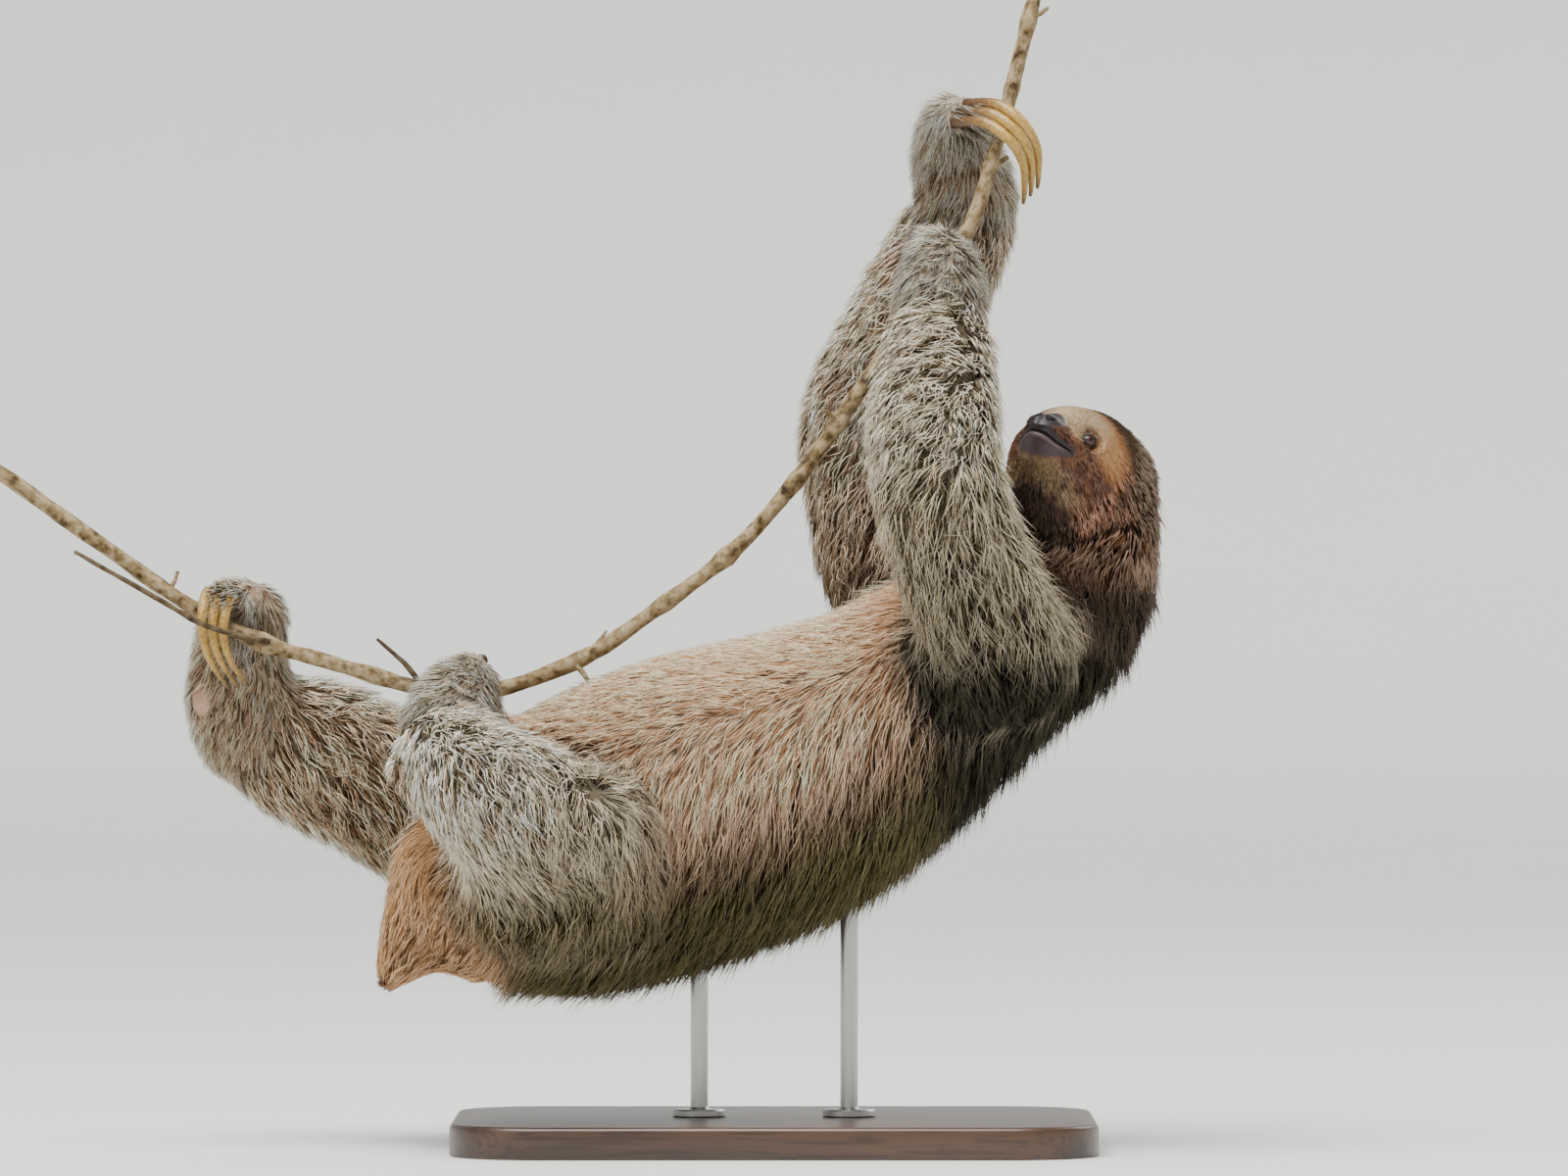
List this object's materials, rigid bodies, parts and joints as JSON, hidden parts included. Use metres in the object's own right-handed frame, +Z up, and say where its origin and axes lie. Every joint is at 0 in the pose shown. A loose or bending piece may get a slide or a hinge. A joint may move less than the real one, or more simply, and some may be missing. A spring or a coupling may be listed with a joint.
{
  "type": "three-toed sloth model",
  "caption": "Life-size still model of a three-toed sloth climbing belly up along a thin vine, held by a plain stand with a flat base and slim rods.",
  "frame": {"origin": "middle of the stand base's underside, where it meets the table", "axes": "+Z up; +X from the animal's tail towards its head, along its body; +Y towards the animal's right side, which is +Y because it hangs belly up"},
  "size_m": [0.665, 0.2991, 0.651],
  "materials": {
    "coat_grey": "long coarse grey-brown fur with pale tips, as on the limbs",
    "coat_belly": "long beige to grey-brown fur, olive brown low on the flanks and back",
    "coat_head": "short orange-brown fur with a pale brow, dark eye stripes and a dark bare nose and lips",
    "coat_neck": "long dark brown fur of nape and throat",
    "coat_tail": "dense orange-brown fur of rump and tail",
    "horn": "yellow-tan horn with brown streaks, satin",
    "eye": "dark brown eye, wet gloss",
    "bark": "thin pale grey-tan bark with pores and knots",
    "stand_wood": "dark stained wood, satin varnish",
    "stand_steel": "satin steel rod"
  },
  "bodies": {
    "root": {"head": "coat_head", "neck": "coat_neck", "trunk": "coat_belly", "tail": "coat_tail", "upper_arm_left": "coat_grey", "forearm_left": "coat_grey", "hand_left": "coat_grey", "thigh_left": "coat_grey", "shank_left": "coat_grey", "foot_left": "coat_grey", "upper_arm_right": "coat_grey", "forearm_right": "coat_grey", "hand_right": "coat_grey", "thigh_right": "coat_grey", "shank_right": "coat_grey", "foot_right": "coat_grey", "eye_left": "eye", "eye_right": "eye", "claw_hand_left_1": "horn", "claw_hand_left_2": "horn", "claw_hand_left_3": "horn", "claw_hand_right_1": "horn", "claw_hand_right_2": "horn", "claw_hand_right_3": "horn", "claw_foot_left_1": "horn", "claw_foot_left_2": "horn", "claw_foot_left_3": "horn", "claw_foot_right_1": "horn", "claw_foot_right_2": "horn", "claw_foot_right_3": "horn", "vine_1": "bark", "vine_2": "bark", "vine_3": "bark", "vine_4": "bark", "vine_5": "bark", "vine_6": "bark", "vine_twig_long": "bark", "vine_twig_short": "bark", "stand_base": "stand_wood", "stand_rod_rear": "stand_steel", "stand_rod_front": "stand_steel"}
  },
  "joints": []
}
